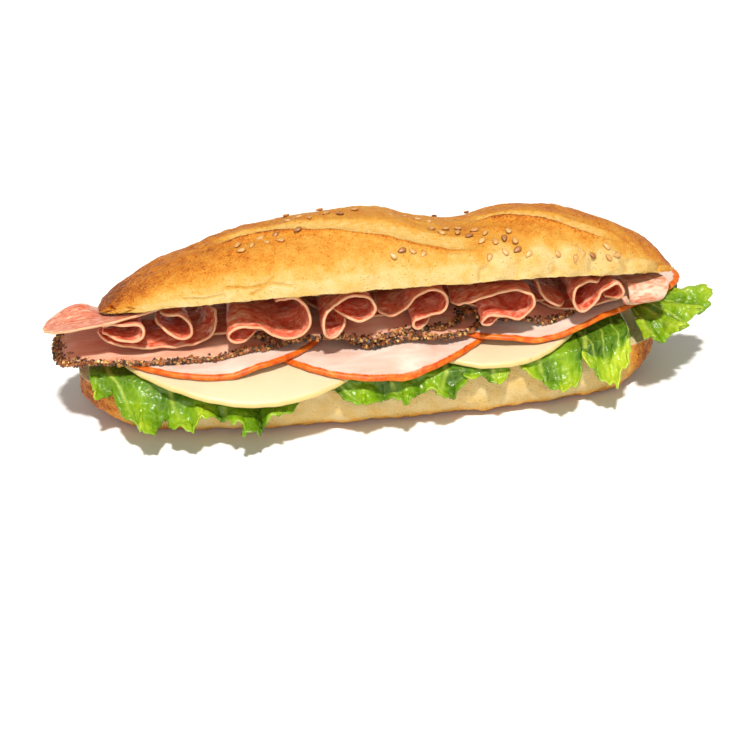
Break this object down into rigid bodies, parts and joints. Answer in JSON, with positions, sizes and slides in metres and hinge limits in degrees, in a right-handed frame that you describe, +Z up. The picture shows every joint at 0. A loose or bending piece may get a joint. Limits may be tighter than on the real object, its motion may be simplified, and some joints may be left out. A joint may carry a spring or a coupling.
{
  "type": "submarine sandwich",
  "caption": "Long seeded roll split into two halves, filled with lettuce, cheese, ham, peppered turkey and folded salami.",
  "frame": {"origin": "middle of the sandwich's box in plan, at the height of the flat spot it rests on", "axes": "+X along the roll, -Y the open front, +Z up"},
  "size_m": [0.2538, 0.0868, 0.075],
  "materials": {
    "crust": "baked bread crust, matt with a slight sheen",
    "lettuce": "crisp green leaf, semi-gloss",
    "cheese": "pale smooth cheese, satin",
    "ham": "moist pink ham with an orange-red rim",
    "turkey": "roast turkey with a cracked pepper rim",
    "salami": "fine-grained cured sausage, greasy sheen"
  },
  "bodies": {
    "root": {"bun_bottom": "crust", "bun_top": "crust", "cheese_left": "cheese", "cheese_right": "cheese", "ham_far_right": "ham", "ham_left": "ham", "ham_middle": "ham", "ham_right": "ham", "lettuce_curl": "lettuce", "lettuce_end": "lettuce", "lettuce_fan": "lettuce", "lettuce_left": "lettuce", "lettuce_lobe": "lettuce", "lettuce_middle": "lettuce", "salami_back_left": "salami", "salami_back_middle": "salami", "salami_back_right": "salami", "salami_base_right": "salami", "salami_end_left": "salami", "salami_end_right": "salami", "salami_fold_1": "salami", "salami_fold_2": "salami", "salami_fold_3": "salami", "salami_fold_4": "salami", "salami_fold_5": "salami", "salami_fold_6": "salami", "salami_fold_7": "salami", "salami_fold_8": "salami", "salami_wave": "salami", "turkey_left": "turkey", "turkey_middle": "turkey", "turkey_right": "turkey", "turkey_upper": "turkey"}
  },
  "joints": []
}
